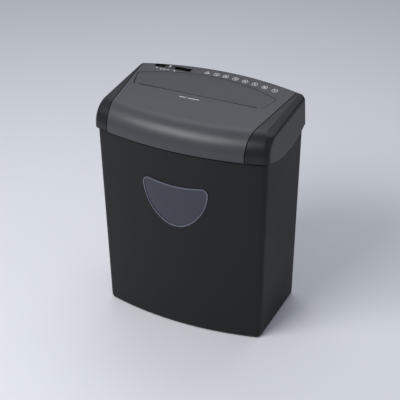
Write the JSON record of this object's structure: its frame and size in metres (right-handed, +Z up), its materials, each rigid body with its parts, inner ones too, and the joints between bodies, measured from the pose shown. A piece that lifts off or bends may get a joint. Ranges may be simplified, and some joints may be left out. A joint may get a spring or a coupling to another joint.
{
  "type": "paper shredder",
  "caption": "Free-standing cross-cut paper shredder: tapered bin with a shield window, lift-off head with feed slot, cutter block, gear train and motor.",
  "frame": {"origin": "middle of the base, on the surface it stands on", "axes": "+X to the right seen from the front, +Y to the back, +Z up"},
  "size_m": [0.33, 0.216, 0.4198],
  "materials": {
    "bin_plastic": "fine matte moulded texture",
    "window_clear": "clear blue-grey moulding",
    "cover_plastic": "satin",
    "cap_plastic": "satin",
    "throat_plastic": "satin",
    "housing_plastic": "moulded",
    "tray_plastic": "polished",
    "knob_plastic": "semi-gloss",
    "plate_steel": "zinc plated",
    "cutter_steel": "ground and oiled",
    "screw_steel": "zinc plated",
    "bush_bronze": "sintered bronze",
    "gear_steel": "hobbed",
    "gear_nylon": "moulded nylon",
    "comb_plastic": "moulded",
    "mount_rubber": "moulded rubber",
    "motor_steel": "drawn and plated",
    "armature_iron": "stacked laminations",
    "commutator_copper": "turned copper",
    "magnet_ferrite": "ferrite",
    "board_laminate": "solder mask",
    "component_plastic": "moulded",
    "switch_plastic": "moulded",
    "spring_steel": "drawn wire",
    "gland_rubber": "moulded"
  },
  "bodies": {
    "bin": {"bin": "bin_plastic", "bin_window": "window_clear"},
    "head": {"top_cover": "cover_plastic", "left_end_cap": "cap_plastic", "right_end_cap": "cap_plastic", "feed_throat": "throat_plastic", "lower_housing": "housing_plastic", "cover_screws": "screw_steel", "left_frame_plate": "plate_steel", "right_frame_plate": "plate_steel", "outer_gear_plate": "plate_steel", "tie_rods": "plate_steel", "gear_plate_posts": "plate_steel", "frame_screws": "screw_steel", "shaft_bushes": "bush_bronze", "front_stripper_comb": "comb_plastic", "rear_stripper_comb": "comb_plastic", "rubber_mounts": "mount_rubber", "gear_pins": "gear_steel", "motor_can": "motor_steel", "motor_end_bell": "component_plastic", "motor_magnets": "magnet_ferrite", "motor_screws": "screw_steel", "control_board": "board_laminate", "board_components": "component_plastic", "switch_tray": "tray_plastic", "mode_switch_body": "switch_plastic", "interlock_spring": "spring_steel", "interlock_switch": "switch_plastic", "sensor_switch": "switch_plastic", "cord_gland": "gland_rubber"},
    "front_cutter": {"front_cutter_shaft": "cutter_steel", "front_cutter_discs": "cutter_steel", "front_cutter_spacers": "cutter_steel", "front_sync_gear": "gear_steel", "output_gear": "gear_steel"},
    "rear_cutter": {"rear_cutter_shaft": "cutter_steel", "rear_cutter_discs": "cutter_steel", "rear_cutter_spacers": "cutter_steel", "rear_sync_gear": "gear_steel"},
    "gear_two": {"second_reduction_gear": "gear_steel"},
    "gear_one": {"first_reduction_gear": "gear_nylon"},
    "motor_rotor": {"motor_shaft": "gear_steel", "motor_armature": "armature_iron", "motor_commutator": "commutator_copper", "motor_pinion": "gear_steel"},
    "mode_slider": {"slider_knob": "knob_plastic"},
    "sensor_lever": {"paper_sensor_lever": "knob_plastic"},
    "plunger": {"interlock_plunger": "knob_plastic"}
  },
  "joints": [
    {"name": "head_lift", "type": "slide", "parent": "bin", "child": "head", "axis": [0, 0, 1], "range_m": [0, 0.12]},
    {"name": "front_cutter_spin", "type": "hinge", "parent": "head", "child": "front_cutter", "pos_m": [0, -0.01, 0.35], "axis": [1, 0, 0], "continuous": true},
    {"name": "rear_cutter_spin", "type": "hinge", "parent": "head", "child": "rear_cutter", "pos_m": [0, 0.026, 0.35], "axis": [1, 0, 0], "continuous": true},
    {"name": "gear_two_spin", "type": "hinge", "parent": "head", "child": "gear_two", "pos_m": [0, -0.02199, 0.38075], "axis": [1, 0, 0], "continuous": true},
    {"name": "gear_one_spin", "type": "hinge", "parent": "head", "child": "gear_one", "pos_m": [0, -0.05196, 0.37948], "axis": [1, 0, 0], "continuous": true},
    {"name": "motor_spin", "type": "hinge", "parent": "head", "child": "motor_rotor", "pos_m": [0, -0.0575, 0.35], "axis": [1, 0, 0], "continuous": true},
    {"name": "mode_slide", "type": "slide", "parent": "head", "child": "mode_slider", "axis": [1, 0, 0], "range_m": [-0.016, 0.016]},
    {"name": "sensor_tilt", "type": "hinge", "parent": "head", "child": "sensor_lever", "pos_m": [-0.011, 0.023, 0.392], "axis": [1, 0, 0], "range_deg": [0, 25], "stiffness_Nm_per_rad": 0.002, "springref_deg": -5.73},
    {"name": "interlock_travel", "type": "slide", "parent": "head", "child": "plunger", "axis": [0, 0, -1], "range_m": [0, 0.0036], "deforming": ["interlock_spring"]}
  ],
  "couplings": [
    {"joint": "rear_cutter_spin", "follows": "front_cutter_spin", "ratio": -1},
    {"joint": "gear_two_spin", "follows": "front_cutter_spin", "ratio": -2.6667},
    {"joint": "gear_one_spin", "follows": "front_cutter_spin", "ratio": 8},
    {"joint": "motor_spin", "follows": "front_cutter_spin", "ratio": -32},
    {"joint": "interlock_travel", "follows": "head_lift", "ratio": 0.03}
  ]
}
